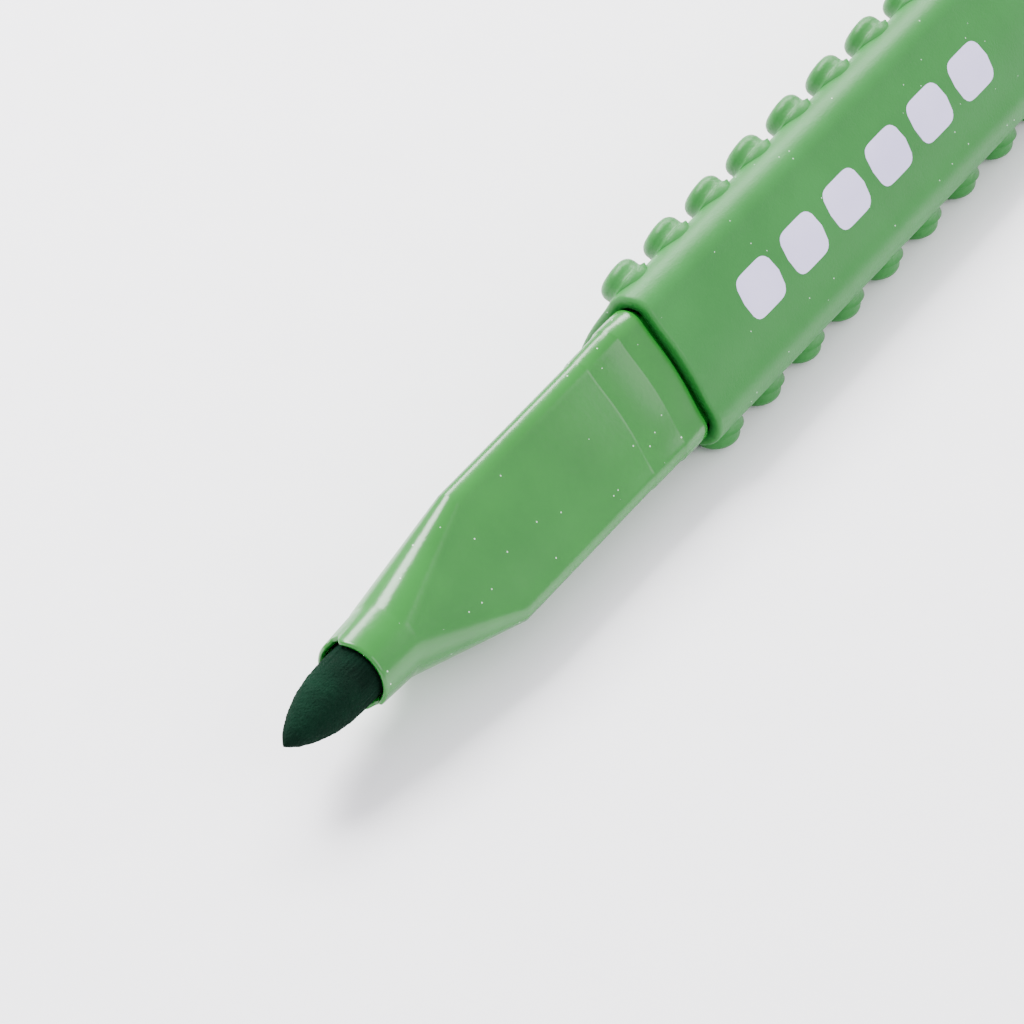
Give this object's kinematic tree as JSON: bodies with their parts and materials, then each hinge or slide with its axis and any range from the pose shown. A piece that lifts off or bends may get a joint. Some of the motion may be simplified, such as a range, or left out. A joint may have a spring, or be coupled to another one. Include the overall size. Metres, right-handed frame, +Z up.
{
  "type": "felt brush marker",
  "caption": "Felt brush marker with a rounded triangular body, studded side faces and a pull-off cap posted on its tail.",
  "frame": {"origin": "centre of the bounding box, on the surface that the marker rests on", "axes": "+X runs from the nib towards the posted cap, +Z is up from the resting surface"},
  "size_m": [0.1824, 0.0114, 0.0113],
  "materials": {
    "nib_felt": "dark green ink-soaked felt",
    "grip_plastic": "glossy moulded green",
    "barrel_plastic": "satin moulded green",
    "core_fibre": "ink-soaked fibre",
    "film_plastic": "thin wrapped film",
    "seal_plastic": "moulded natural white"
  },
  "bodies": {
    "pen": {"brush_nib": "nib_felt", "front_section": "grip_plastic", "barrel": "barrel_plastic", "reservoir_core": "core_fibre", "reservoir_film": "film_plastic", "tail_plug": "grip_plastic"},
    "cap": {"cap_shell": "barrel_plastic", "cap_seal": "seal_plastic"}
  },
  "joints": [
    {"name": "cap_pull", "type": "slide", "parent": "pen", "child": "cap", "axis": [1, 0, 0], "range_m": [0, 0.03]}
  ]
}
